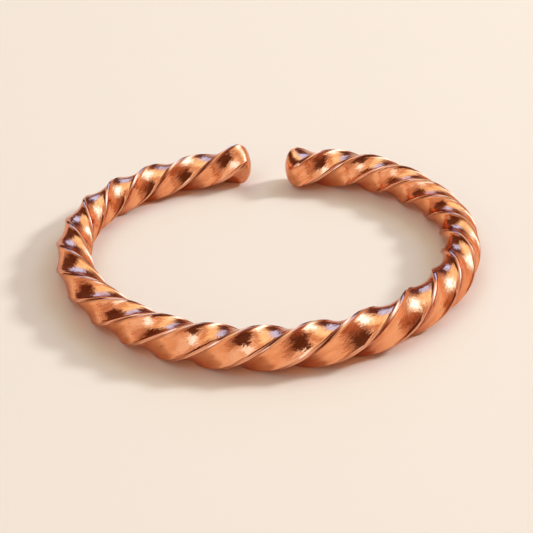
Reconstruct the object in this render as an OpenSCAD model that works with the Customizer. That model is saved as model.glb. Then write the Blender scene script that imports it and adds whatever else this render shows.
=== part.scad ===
// Twisted copper bangle: one four-sided bar, twisted along its length and bent into an open
// oval, with both ends rounded over. It lies flat, with its gap towards +Y.

/* [Wrist opening] */
// Clear width inside the bangle, from side to side
wrist_w = 55.7; // [46:0.1:72]
// Clear depth inside the bangle, from front to back
wrist_d = 48; // [40:0.5:62]
// Gap between the two rounded ends
gap_w = 5.8; // [2:0.2:30]

/* [Bar] */
// Thickness of the bar over its ridges, where it is thickest
bar_d = 7.1; // [4:0.1:10]
// Number of ridges around the bar
ridges = 4; // [3:1:6]
// Width of the narrow land on top of each ridge
land_w = 0.6; // [0.2:0.05:1.4]
// Depth of each face below the ridges, at the middle of the face
face_h = 0.8; // [0.4:0.05:1.6]

/* [Twist] */
// Length of bar that makes one whole turn of the twist
lead = 30; // [16:0.5:60]
// Angle of the first ridge at the middle of the front, from outward towards up
ridge_a = 42; // [0:1:90]

/* [Ends] */
// Thickness of the bar over its ridges at each end, where it is a little swollen
end_d = 7; // [4:0.1:11]
// Length over which the bar swells to that thickness
swell_len = 8; // [3:0.5:20]
// Length over which each end is rounded off
end_round = 2.3; // [1:0.1:4]

/* [Hidden] */

// The bangle is bent and twisted by hand, so it isn't quite even. A row for every 30 degrees
// round the oval, from the left end over the front to the right end:
// angle  from the middle of the front, positive to the right
// reach  distance from the centre, as a share of an even oval's
// thick  thickness of the bar, as a share of bar_d
// lag    how far the ridges fall behind an even twist, as a share of the step between ridges
ARM = [
    [-180, 1.07, 0.82, -0.30],
    [-150, 1.06, 0.83, -0.05],
    [-120, 1.05, 0.84, -0.08],
    [-90, 1.00, 0.85, -0.14],
    [-60, 0.98, 0.90, 0.08],
    [-30, 1.00, 0.98, 0.01],
    [0, 0.98, 0.99, 0.04],
    [30, 0.96, 1.00, 0.25],
    [60, 0.945, 0.97, 0.58],
    [90, 0.99, 0.91, 0.52],
    [120, 1.08, 0.84, 0.22],
    [150, 1.11, 0.90, -0.15],
    [180, 0.99, 0.88, -0.16]
];
REACH = 1;
THICK = 2;
LAG = 3;
row_step = ARM[1][0] - ARM[0][0];
last_row = len(ARM) - 1;

// Points round the bar, the fewest that a ridge and a face take, and rings along the bar
section_points = 36;
least_per_ridge = 5;
points_per_ridge = max(least_per_ridge, round(section_points / ridges));
around = ridges * points_per_ridge;
body_rings = 146;
end_rings = 5;
length_steps = 240;

// Bluntness of the rounded ends, where 2 is an ellipse and more is squarer
end_blunt = 2.1;
// Shape of a face from ridge to ridge, where 2 is a plain curve and more has a flatter middle
face_blunt = 2;

// A column of the table at any angle, as a smooth curve through its rows
function row(i, col) = ARM[min(max(i, 0), last_row)][col];
function curve(a, b, c, d, f) =
    (2 * b + (c - a) * f + (2 * a - 5 * b + 4 * c - d) * f * f + (3 * b - a - 3 * c + d) * f * f * f) / 2;
function at(col, angle) =
    let (u = (angle - ARM[0][0]) / row_step, i = min(max(floor(u), 0), last_row - 1))
    curve(row(i - 1, col), row(i, col), row(i + 1, col), row(i + 2, col), u - i);

// Centreline: an oval whose half sizes leave the wrist opening clear between the ridges
function radius(angle) = bar_d / 2 * at(THICK, angle);
half_w = (wrist_w + radius(-90) + radius(90)) / (at(REACH, -90) + at(REACH, 90));
half_d = (wrist_d + radius(0) + radius(180)) / (at(REACH, 0) + at(REACH, 180));
function oval(angle) = 1 / norm([sin(angle) / half_w, cos(angle) / half_d]);
function centre(angle) = oval(angle) * at(REACH, angle) * [sin(angle), -cos(angle), 0];

// Angles of the two tips, half a gap either side of the middle of the back
left_tip = asin(gap_w / 2 / half_d / at(REACH, -180)) - 180;
right_tip = 180 - asin(gap_w / 2 / half_d / at(REACH, 180));

// Length along the centreline up to each of many small steps, and the angle at any length
step_a = (right_tip - left_tip) / length_steps;
function span(angle) = norm(centre(angle + step_a) - centre(angle));
lengths = [for (i = 0, s = 0; i <= length_steps; s = s + span(left_tip + i * step_a), i = i + 1)
    [s, left_tip + i * step_a]];
bar_len = lengths[length_steps][0];
function angle_at(s) = lookup(s, lengths);
function length_at(angle) = lookup(angle, [for (p = lengths) [p[1], p[0]]]);
front_s = length_at(0);

// The ends: how far a place is from the nearer tip, and there the share of the swelling, of
// the bar's full size and of the faces' full depth
function from_tip(s) = min(s, bar_len - s);
function swelling(d) = d >= swell_len ? 0 : pow(cos(90 * d / swell_len), 2);
function tip_size(d) = d >= end_round ? 1 : pow(1 - pow(1 - d / end_round, end_blunt), 1 / end_blunt);
function tip_face(d) = d >= end_round ? 1 : sin(90 * d / end_round);
function bar_r(s) =
    let (r = radius(angle_at(s)), w = swelling(from_tip(s)))
    r + (end_d / 2 - r) * w;

// Section of the bar: the land takes two points of each ridge and the face takes the others
land_a = 2 * asin(land_w / bar_d);
face_a = 360 / ridges - land_a;
function across(j) = (j - 1) / (points_per_ridge - 1);
function point_angle(j) = j == 0 ? -land_a / 2 : land_a / 2 + face_a * across(j);
function point_depth(j) = j == 0 ? 0 : 1 - pow(abs(2 * across(j) - 1), face_blunt);

// A ring of points round the bar, whose underside runs level along the bangle
up = [0, 0, 1];
function core(s) = centre(angle_at(s)) + bar_r(s) * up;
function ring(s) =
    let (
        angle = angle_at(s),
        ahead = centre(angle + step_a / 2) - centre(angle - step_a / 2),
        out = cross(ahead, up) / norm(ahead),
        twist = ridge_a + 360 * (s - front_s) / lead - at(LAG, angle) * 360 / ridges,
        size = bar_r(s) * tip_size(from_tip(s)),
        face = face_h / (bar_d / 2) * tip_face(from_tip(s))
    )
    [for (k = [0:ridges - 1], j = [0:points_per_ridge - 1])
        let (
            a = twist + k * 360 / ridges + point_angle(j),
            r = size * (1 - face * point_depth(j))
        )
        core(s) + r * (cos(a) * out + sin(a) * up)];

// Lengths at which the rings stand, closer together over the rounded ends
end_s = [for (i = [1:end_rings]) end_round * (1 - cos(90 * i / end_rings))];
body_s = [for (i = [1:body_rings]) end_round + (bar_len - 2 * end_round) * i / (body_rings + 1)];
ring_s = concat(end_s, body_s, [for (i = [end_rings:-1:1]) bar_len - end_s[i - 1]]);
rings = len(ring_s);
skin = concat([core(0)], [for (s = ring_s) each ring(s)], [core(bar_len)]);

// The origin is at the middle of the bangle's box, on the surface that it rests on
function low(axis) = min([for (p = skin) p[axis]]);
function high(axis) = max([for (p = skin) p[axis]]);
to_origin = -[(low(0) + high(0)) / 2, (low(1) + high(1)) / 2, low(2)];

function id(i, j) = 1 + i * around + j % around;
tip_faces = [for (j = [0:around - 1]) each [
    [0, id(0, j + 1), id(0, j)],
    [len(skin) - 1, id(rings - 1, j), id(rings - 1, j + 1)]
]];
side_faces = [for (i = [0:rings - 2], j = [0:around - 1]) each [
    [id(i, j), id(i + 1, j + 1), id(i + 1, j)],
    [id(i, j), id(i, j + 1), id(i + 1, j + 1)]
]];

module twisted_bar() {
    color([0.86, 0.5, 0.34])
        translate(to_origin)
            polyhedron(points = skin, faces = concat(tip_faces, side_faces), convexity = 10);
}

twisted_bar();
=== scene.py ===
import math

import bpy
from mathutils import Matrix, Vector


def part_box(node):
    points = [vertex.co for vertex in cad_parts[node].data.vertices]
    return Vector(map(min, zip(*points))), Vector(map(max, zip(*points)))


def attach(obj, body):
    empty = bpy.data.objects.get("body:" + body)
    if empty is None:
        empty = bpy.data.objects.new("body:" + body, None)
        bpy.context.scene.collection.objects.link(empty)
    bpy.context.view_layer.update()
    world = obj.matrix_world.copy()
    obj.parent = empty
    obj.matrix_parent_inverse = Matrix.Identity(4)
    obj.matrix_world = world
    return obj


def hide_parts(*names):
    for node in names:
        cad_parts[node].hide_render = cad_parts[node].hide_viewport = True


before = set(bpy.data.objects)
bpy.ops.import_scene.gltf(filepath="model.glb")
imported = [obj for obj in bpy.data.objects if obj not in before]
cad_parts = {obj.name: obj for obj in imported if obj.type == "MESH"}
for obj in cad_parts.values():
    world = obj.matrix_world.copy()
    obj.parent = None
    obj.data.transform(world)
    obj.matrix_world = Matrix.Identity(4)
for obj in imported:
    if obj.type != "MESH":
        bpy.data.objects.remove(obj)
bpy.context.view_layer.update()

bpy.ops.object.select_all(action="DESELECT")


# The camera: a long lens, 370 mm from the bangle and 32 degrees above the table, turned a hair
# to the left. The lens is measured in pixels of a picture that is 533 pixels wide.
picture_pixels = 533
lens_pixels = 2301.6
camera_height = math.radians(31.87)
camera_turn = math.radians(0.037)
bpy.ops.object.camera_add(location=(0.00002, -0.31470, 0.19607))
camera = bpy.context.object
camera.name = "camera"
camera.rotation_euler = (math.pi / 2 - camera_height, 0, camera_turn)
camera.data.sensor_width = 36
camera.data.lens = camera.data.sensor_width * lens_pixels / picture_pixels
camera.data.clip_start = 0.01
camera.data.clip_end = 20
bpy.context.scene.camera = camera


# The twisted bar: one length of square copper bar with slightly rounded faces, twisted in a
# vice and then bent by hand round an oval mandrel until its ends nearly meet. Its corners are
# narrow polished lands, and both ends are filed round.
mm = 0.001
bar_d = 7.05 * mm  # over the ridges, where the bar is thickest
ridges = 4
ridge_step = 360 / ridges
ridge_a = 42  # of the first ridge at the middle of the front, from outward towards up
land_w = 0.6 * mm
land_hollow = 0.02  # as a share of the ridge's radius
foot_h = 0.13 * mm  # of the low foot that each land stands on
foot_w = 0.36 * mm  # that the foot reaches beside the land
face_h = 0.8 * mm  # from the ridges down to the middle of a face, with the foot
lead = 30 * mm  # of bar to one whole turn of the twist
end_d = 7 * mm
swell_len = 8 * mm  # over which the bar swells to the thickness of its end
end_round = 2.3 * mm  # over which the end is filed round
end_blunt = 2.1  # where 2 is an ellipse and more is squarer
end_face = 0.5  # share of a face's depth that is left at the tip
gap_w = 5.8 * mm
half_w = 31.13 * mm  # of the oval that the middle of the bar follows
half_d = 27.735 * mm

# Hand-made unevenness every 30 degrees from the left end over the front to the right end:
# reach of the oval, thickness of the bar, and how far its ridges lag behind an even twist
first_row = -180
row_step = 30
reach = (1.07, 1.06, 1.05, 1.00, 0.98, 1.00, 0.98, 0.96, 0.945, 0.99, 1.08, 1.11, 0.99)
thick = (0.82, 0.83, 0.84, 0.85, 0.90, 0.98, 0.99, 1.00, 0.97, 0.91, 0.84, 0.90, 0.88)
lag = (-0.30, -0.05, -0.08, -0.14, 0.08, 0.01, 0.04, 0.25, 0.58, 0.52, 0.22, -0.15, -0.16)


def along(row, angle):
    """The value at any angle, on a smooth curve through the row."""
    u = (angle - first_row) / row_step
    i = min(max(math.floor(u), 0), len(row) - 2)
    f = u - i
    a, b, c, d = (row[min(max(i + k, 0), len(row) - 1)] for k in (-1, 0, 1, 2))
    return (
        2 * b
        + (c - a) * f
        + (2 * a - 5 * b + 4 * c - d) * f ** 2
        + (3 * b - a - 3 * c + d) * f ** 3
    ) / 2


def mandrel(angle):
    """Middle of the bar in plan, at an angle from the middle of the front to the right."""
    s, c = math.sin(math.radians(angle)), math.cos(math.radians(angle))
    return Vector((s, -c, 0)) * along(reach, angle) / math.hypot(s / half_w, c / half_d)


# The length of bar up to each of many small steps round the oval, and up to its front
length_steps = 240
left_tip = math.degrees(math.asin(gap_w / 2 / half_d / reach[0])) - 180
right_tip = 180 - math.degrees(math.asin(gap_w / 2 / half_d / reach[-1]))
turns = [left_tip + (right_tip - left_tip) * i / length_steps for i in range(length_steps + 1)]
lengths = [0.0]
for a, b in zip(turns, turns[1:]):
    lengths.append(lengths[-1] + (mandrel(b) - mandrel(a)).length)
bar_len = lengths[-1]
spans = zip(turns, turns[1:], lengths, lengths[1:])
front = next(s - a / (b - a) * (t - s) for a, b, s, t in spans if a <= 0 <= b)

# The section of the bar, as points round one ridge and the face beside it. The land has two
# crisp edges and a faint hollow, the foot falls away steeply beside it, and the points crowd
# together there, where the face begins and ends.
land_points = (0, 0.06, 0.2, 0.5, 0.8, 0.94)
face_steps = 28
steps = len(land_points) + face_steps
land_a = 2 * math.degrees(math.asin(land_w / bar_d))
face_a = ridge_step - land_a


def section(j):
    """Angle from the middle of the ridge and share of the ridge's radius of point j."""
    if j < len(land_points):
        x = land_points[j]
        return land_a * (x - 0.5), 1 - land_hollow * math.sin(math.pi * x)
    x = (1 - math.cos(math.pi * (j - len(land_points)) / face_steps)) / 2
    off_land = math.radians(face_a * min(x, 1 - x)) * bar_d / 2
    foot = foot_h * (1 - max(0, 1 - off_land / foot_w) ** 2)
    depth = foot + (face_h - foot_h) * (1 - (2 * x - 1) ** 2)
    return land_a / 2 + face_a * x, 1 - depth / (bar_d / 2)


bpy.ops.mesh.primitive_circle_add(
    vertices=ridges * steps, radius=bar_d / 2, rotation=(math.pi / 2, 0, math.pi / 2)
)
bar = bpy.context.object
bar.name = bar.data.name = "twisted_bar_metal"
bpy.ops.object.transform_apply(rotation=True)
first_turn = 180 - (ridge_a + 360 * (end_round - front) / lead)
for j in range(steps):
    turn, share = section(j)
    for i in range(j, ridges * steps, steps):
        angle = math.radians(first_turn + ridge_step * (i // steps) + turn)
        bar.data.vertices[i].co = Vector((0, math.cos(angle), math.sin(angle))) * share * bar_d / 2

# Twisted: the section is screwed along the bar
body_len = bar_len - 2 * end_round
body_rings = 480
twist = bar.modifiers.new("twist", "SCREW")
twist.axis = "X"
twist.angle = -2 * math.pi * body_len / lead
twist.screw_offset = body_len
twist.steps = twist.render_steps = body_rings
bpy.ops.object.modifier_apply(modifier="twist")

# Both ends are drawn out and closed
end_rings = 14
touching = 1e-6
for end, side in ((0, -1), (body_len, 1)):
    bpy.ops.object.mode_set(mode="EDIT")
    bpy.ops.mesh.select_all(action="DESELECT")
    bpy.ops.object.mode_set(mode="OBJECT")
    for v in bar.data.vertices:
        v.select = abs(v.co.x - end) < touching
    bpy.ops.object.mode_set(mode="EDIT")
    bpy.ops.mesh.select_mode(type="VERT")
    drawn = 0
    for k in range(1, end_rings + 1):
        out = end_round * math.sin(math.pi / 2 * k / end_rings)
        bpy.ops.mesh.extrude_region_move(
            TRANSFORM_OT_translate={"value": (side * (out - drawn), 0, 0)}
        )
        drawn = out
    bpy.ops.mesh.merge(type="CENTER")
bpy.ops.mesh.select_all(action="SELECT")
bpy.ops.mesh.normals_make_consistent(inside=False)
bpy.ops.transform.translate(value=(end_round, 0, 0))
bpy.ops.object.mode_set(mode="OBJECT")


def turned(y, z, angle):
    """A point of the section, turned about the middle of the bar."""
    c, s = math.cos(angle), math.sin(angle)
    return y * c - z * s, y * s + z * c


# Filed round: the ends go on with the twist, and the ridges run out on their domes
for v in bar.data.vertices:
    to_tip = min(v.co.x, bar_len - v.co.x) / end_round
    r = math.hypot(v.co.y, v.co.z)
    if to_tip < 1 and r > 0:
        dome = bar_d / 2 * max(0, 1 - (1 - to_tip) ** end_blunt) ** (1 / end_blunt)
        face = end_face + (1 - end_face) * math.sin(math.pi / 2 * to_tip)
        share = dome / r * (1 - (1 - r / (bar_d / 2)) * face)
        past = math.copysign(1 - to_tip, bar_len / 2 - v.co.x) * end_round
        v.co.y, v.co.z = turned(v.co.y * share, v.co.z * share, 2 * math.pi / lead * past)

# Marks on the straight, untwisted bar, for the clouds, pits and file strokes that follow the
# metal: its own coordinates, and its surface unrolled, with the distance to the middle of a
# ridge
straight = bar.data.attributes.new("straight", "FLOAT_VECTOR", "POINT")
unrolled = bar.data.attributes.new("unrolled", "FLOAT_VECTOR", "POINT")
for v in bar.data.vertices:
    y, z = turned(v.co.y, v.co.z, 2 * math.pi * (v.co.x - end_round) / lead)
    straight.data[v.index].vector = (v.co.x, y, z)
    angle = (math.degrees(math.atan2(z, y)) - first_turn) % 360
    off_ridge = abs((angle + ridge_step / 2) % ridge_step - ridge_step / 2)
    round_bar, off_middle = (math.radians(a) * bar_d / 2 for a in (angle, off_ridge))
    unrolled.data[v.index].vector = (v.co.x, round_bar, off_middle)

# Bent: the mandrel's line, thicker and thinner along the bar, with the twist's own unevenness
bpy.ops.curve.primitive_bezier_curve_add(radius=1, location=(0, 0, 0))
line = bpy.context.object
line.name = "mandrel_line"
line.data.splines.clear()
spline = line.data.splines.new("BEZIER")
mark_step = 3
marks = range(0, length_steps + 1, mark_step)
spline.bezier_points.add(len(marks) - 1)
for point, i in zip(spline.bezier_points, marks):
    to_tip = min(lengths[i], bar_len - lengths[i])
    swell = math.cos(math.pi / 2 * to_tip / swell_len) ** 2 if to_tip < swell_len else 0
    r = bar_d / 2 * along(thick, turns[i])
    r += (end_d / 2 - r) * swell
    point.co = mandrel(turns[i]) + Vector((0, 0, r))
    point.handle_left_type = point.handle_right_type = "AUTO"
    point.radius = r / (bar_d / 2)
    point.tilt = math.radians(ridge_step * along(lag, turns[i]))
line.data.dimensions = "3D"
line.data.twist_mode = "Z_UP"
line.data.use_radius = True
line.data.resolution_u = 12
bend = bar.modifiers.new("bend", "CURVE")
bend.object = line
bend.deform_axis = "POS_X"
bpy.ops.object.select_all(action="DESELECT")
bpy.context.view_layer.objects.active = bar
bar.select_set(True)
bpy.ops.object.modifier_apply(modifier="bend")
bpy.data.objects.remove(line)

# Set down where the CAD bar lies
low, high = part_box("twisted_bar")
xs, ys, zs = ([v.co[k] for v in bar.data.vertices] for k in range(3))
shift = Vector((
    (low.x + high.x - min(xs) - max(xs)) / 2,
    (low.y + high.y - min(ys) - max(ys)) / 2,
    low.z - min(zs),
))
bpy.ops.object.mode_set(mode="EDIT")
bpy.ops.mesh.select_all(action="SELECT")
bpy.ops.transform.translate(value=shift)
bpy.ops.object.mode_set(mode="OBJECT")
bpy.ops.object.shade_smooth()

copper = bpy.data.materials.new("twisted copper")
copper.use_nodes = True
nodes, links = copper.node_tree.nodes, copper.node_tree.links
metal = nodes["Principled BSDF"]
metal.inputs["Metallic"].default_value = 1
metal.inputs["Specular Tint"].default_value = (0.75, 0.65, 0.66, 1)

bar_place = nodes.new("ShaderNodeAttribute")
bar_place.attribute_name = "straight"
skin_place = nodes.new("ShaderNodeAttribute")
skin_place.attribute_name = "unrolled"
skin_parts = nodes.new("ShaderNodeSeparateXYZ")
links.new(skin_place.outputs["Vector"], skin_parts.inputs["Vector"])
from_ridge = skin_parts.outputs["Z"]


def noise(across, length, detail, slant=None):
    """Noise with grains so many to the millimetre across the metal and along it. Slanted, it
    lies on the unrolled surface at that angle to the ridges."""
    place = nodes.new("ShaderNodeMapping")
    place.inputs["Scale"].default_value = (length / mm, across / mm, across / mm)
    source = bar_place.outputs["Vector"]
    if slant is not None:
        turn = nodes.new("ShaderNodeVectorRotate")
        turn.rotation_type = "Z_AXIS"
        turn.inputs["Angle"].default_value = math.radians(-slant)
        links.new(skin_place.outputs["Vector"], turn.inputs["Vector"])
        source = turn.outputs["Vector"]
    links.new(source, place.inputs["Vector"])
    grain = nodes.new("ShaderNodeTexNoise")
    grain.inputs["Scale"].default_value = 1
    grain.inputs["Detail"].default_value = detail
    links.new(place.outputs["Vector"], grain.inputs["Vector"])
    return grain.outputs["Fac"]


def ramp(value, low, high, start, end):
    """Start where the value is low, end where it is high, and a smooth rise or fall between."""
    fit = nodes.new("ShaderNodeMapRange")
    fit.interpolation_type = "SMOOTHSTEP"
    for name, number in (("From Min", low), ("From Max", high), ("To Min", start), ("To Max", end)):
        fit.inputs[name].default_value = number
    links.new(value, fit.inputs["Value"])
    return fit.outputs["Result"]


def tint(value, under, over):
    """Colour under where the value is 0 and over where it is 1. Under may be a socket."""
    mix = nodes.new("ShaderNodeMix")
    mix.data_type = "RGBA"
    links.new(value, mix.inputs["Factor"])
    mix.inputs["B"].default_value = (*over, 1)
    if isinstance(under, tuple):
        mix.inputs["A"].default_value = (*under, 1)
    else:
        links.new(under, mix.inputs["A"])
    return mix.outputs["Result"]


def bump(height, depth, where, under=None):
    """Relief so deep in metres where that value is high, laid over an earlier one."""
    relief = nodes.new("ShaderNodeBump")
    relief.inputs["Distance"].default_value = depth
    links.new(height, relief.inputs["Height"])
    links.new(where, relief.inputs["Strength"])
    if under:
        links.new(under, relief.inputs["Normal"])
    return relief.outputs["Normal"]


# Warm pink copper, browner in clouds, with a few dark pits. The ridges are painted a lighter
# copper, partly rubbed bright and partly a painted highlight, and a thin painted shade lies over
# them and in the crease beside them.
pink, brown = (0.94, 0.41, 0.205), (0.84, 0.31, 0.135)
pit, rubbed_highlight, ridge_shade = (0.40, 0.13, 0.06), (0.96, 0.46, 0.27), (0.30, 0.09, 0.04)
clouded = ramp(noise(across=0.9, length=0.5, detail=4), 0.38, 0.66, 0, 1)
pitted = ramp(noise(across=3.2, length=2.4, detail=2), 0.66, 0.74, 0, 0.8)
# Painted highlight: the ridges are painted a lighter copper, partly rubbed metal and partly
# standing in for light they catch
rubbed_and_highlit = ramp(from_ridge, 0.30 * mm, 0.40 * mm, 0.9, 0)
# Painted shade: a thin dark band over the ridges and in the crease beside each land
shaded_ridges = ramp(from_ridge, 0.52 * mm, 0.42 * mm, 0, 0.25)
colour = tint(clouded, pink, brown)
for cover, over in ((pitted, pit), (rubbed_and_highlit, rubbed_highlight), (shaded_ridges, ridge_shade)):
    colour = tint(cover, colour, over)
links.new(colour, metal.inputs["Base Color"])

# Polished, but a little duller in patches, with shallow hammer marks, dimples and slanting
# file strokes on the faces and hardly any on the ridges
polish = ramp(noise(across=1.2, length=0.6, detail=2), 0.3, 0.7, 0.03, 0.08)
links.new(polish, metal.inputs["Roughness"])
on_face = ramp(from_ridge, 0.4 * mm, 0.7 * mm, 0.15, 1)
hammered = bump(noise(across=1.1, length=0.7, detail=2), 0.055 * mm, on_face)
dimpled = bump(noise(across=2.6, length=2.2, detail=1), 0.022 * mm, on_face, hammered)
filed = bump(noise(across=5.0, length=1.3, detail=1, slant=35), 0.017 * mm, on_face, dimpled)
links.new(filed, metal.inputs["Normal"])
bar.data.materials.append(copper)
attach(bar, "root")
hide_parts("twisted_bar")


# The table: a sheet of matt cream paper, which lies flat under the bangle and runs on past
# the edges of the picture. It isn't part of the object.
bpy.ops.mesh.primitive_plane_add(size=6)
table = bpy.context.object
table.name = "table"
paper = bpy.data.materials.new("cream paper")
paper.use_nodes = True
matt = paper.node_tree.nodes["Principled BSDF"]
matt.inputs["Base Color"].default_value = (0.87, 0.70, 0.50, 1)
matt.inputs["Roughness"].default_value = 0.9
matt.inputs["Specular IOR Level"].default_value = 0.2
table.data.materials.append(paper)


# The studio: a soft key light at the right and a little behind, which the metal doesn't
# mirror, and a room of plain panels for it to mirror, with a bright window behind the light,
# pale and blue windows, brown walls and dark doorways. Azimuth 0 is right and 90 is behind.
key_azimuth, key_elevation = math.radians(21), math.radians(31)
key_distance = 1.2
key_place = Vector((
    math.cos(key_azimuth) * math.cos(key_elevation),
    math.sin(key_azimuth) * math.cos(key_elevation),
    math.sin(key_elevation),
)) * key_distance
bpy.ops.object.light_add(type="AREA", location=key_place)
key = bpy.context.object
key.name = key.data.name = "key_light"
key.rotation_euler = key.location.to_track_quat("Z", "Y").to_euler()
key.data.shape = "DISK"
key.data.size = 0.2
key.data.energy = 8.2
key.data.color = (1.0, 1.19, 1.53)
key.visible_glossy = False

world = bpy.data.worlds.new("studio")
bpy.context.scene.world = world
world.use_nodes = True
room = world.node_tree
look = room.nodes.new("ShaderNodeTexCoord")
wall = room.nodes.new("ShaderNodeRGB")
wall.outputs[0].default_value = (0.64, 0.47, 0.38, 1)


def worked(operation, *values):
    """What a Math node makes of one or two sockets."""
    node = room.nodes.new("ShaderNodeMath")
    node.operation = operation
    for value, socket in zip(values, node.inputs):
        room.links.new(value, socket)
    return node.outputs[0]


def hang(behind, azimuth, elevation, half_width, half_height, edge, colour):
    """Hang a rectangular panel before the room. Its half sizes and soft edge are in degrees."""
    face = room.nodes.new("ShaderNodeVectorRotate")
    face.rotation_type = "EULER_XYZ"
    face.invert = True
    face.inputs["Rotation"].default_value = (0, math.radians(-elevation), math.radians(azimuth))
    room.links.new(look.outputs["Generated"], face.inputs["Vector"])
    split = room.nodes.new("ShaderNodeSeparateXYZ")
    room.links.new(face.outputs["Vector"], split.inputs["Vector"])
    covers = []
    for axis, half in (("Y", half_width), ("Z", half_height)):
        off = worked("ABSOLUTE", worked("ARCTAN2", split.outputs[axis], split.outputs["X"]))
        fade = room.nodes.new("ShaderNodeMapRange")
        fade.interpolation_type = "SMOOTHSTEP"
        fade.inputs["From Min"].default_value = math.radians(half + edge)
        fade.inputs["From Max"].default_value = math.radians(half - edge)
        room.links.new(off, fade.inputs["Value"])
        covers.append(fade.outputs["Result"])
    mix = room.nodes.new("ShaderNodeMix")
    mix.data_type = "RGBA"
    room.links.new(worked("MULTIPLY", *covers), mix.inputs["Factor"])
    room.links.new(behind, mix.inputs["A"])
    mix.inputs["B"].default_value = (*colour, 1)
    return mix.outputs["Result"]


# Azimuth, elevation, half width, half height and edge, all in degrees, and the colour. Each
# panel hangs before the ones above it.
view = wall.outputs[0]
for panel in (
    (-140, 35, 36, 36, 10, (0.84, 0.80, 0.77)),  # pale screen, front left
    (-90, 80, 30, 9, 4, (1.00, 0.95, 0.90)),  # pale strip overhead
    (-140, 56, 16, 11, 2.5, (1.20, 1.85, 2.70)),  # blue window, high, front left
    (175, 15, 24, 30, 10, (0.58, 0.40, 0.32)),  # brown wall, left
    (112, 62, 34, 14, 10, (0.84, 0.72, 0.55)),  # cream wall, high, behind
    (82, 18, 20, 24, 8, (0.48, 0.36, 0.33)),  # brown wall, behind
    (146, 32, 20, 18, 6, (0.11, 0.04, 0.025)),  # dark doorway, back left
    (129, 17, 17, 17, 4, (0.12, 0.056, 0.04)),  # its lower half
    (113, 3, 13, 12, 5, (0.16, 0.08, 0.08)),  # its shade along the floor
    (88, 17, 16, 17, 5, (0.13, 0.07, 0.08)),  # dark doorway, behind
    (25, 8, 35, 10, 6, (0.82, 0.54, 0.39)),  # sunlit strip, low, right
    (-15, 34, 13, 36, 7, (0.42, 0.20, 0.12)),  # brown curtain, right
    (-65, 20, 32, 9, 6, (0.46, 0.32, 0.26)),  # brown strip, low, front
    (-35, 46, 13, 26, 4, (0.25, 0.12, 0.09)),  # brown curtain, high, front right
    (-66, 53, 21, 27, 4, (0.11, 0.05, 0.035)),  # dark curtain, high, front
    (78, 56, 30, 16, 8, (1.12, 1.32, 1.15)),  # pale window, high, behind
    (36, 46, 20, 18, 7, (1.00, 1.55, 1.95)),  # glow round the bright window, back right
    (37, 47, 12, 11, 4, (2.80, 3.00, 4.80)),  # the bright window
    (98, 24, 9.5, 12, 0.8, (0.66, 1.25, 3.00)),  # blue window, sharp, behind
):
    view = hang(view, *panel)
room.links.new(view, room.nodes["Background"].inputs["Color"])
room.nodes["Background"].inputs["Strength"].default_value = 1.13

bpy.context.scene.view_settings.view_transform = "Standard"
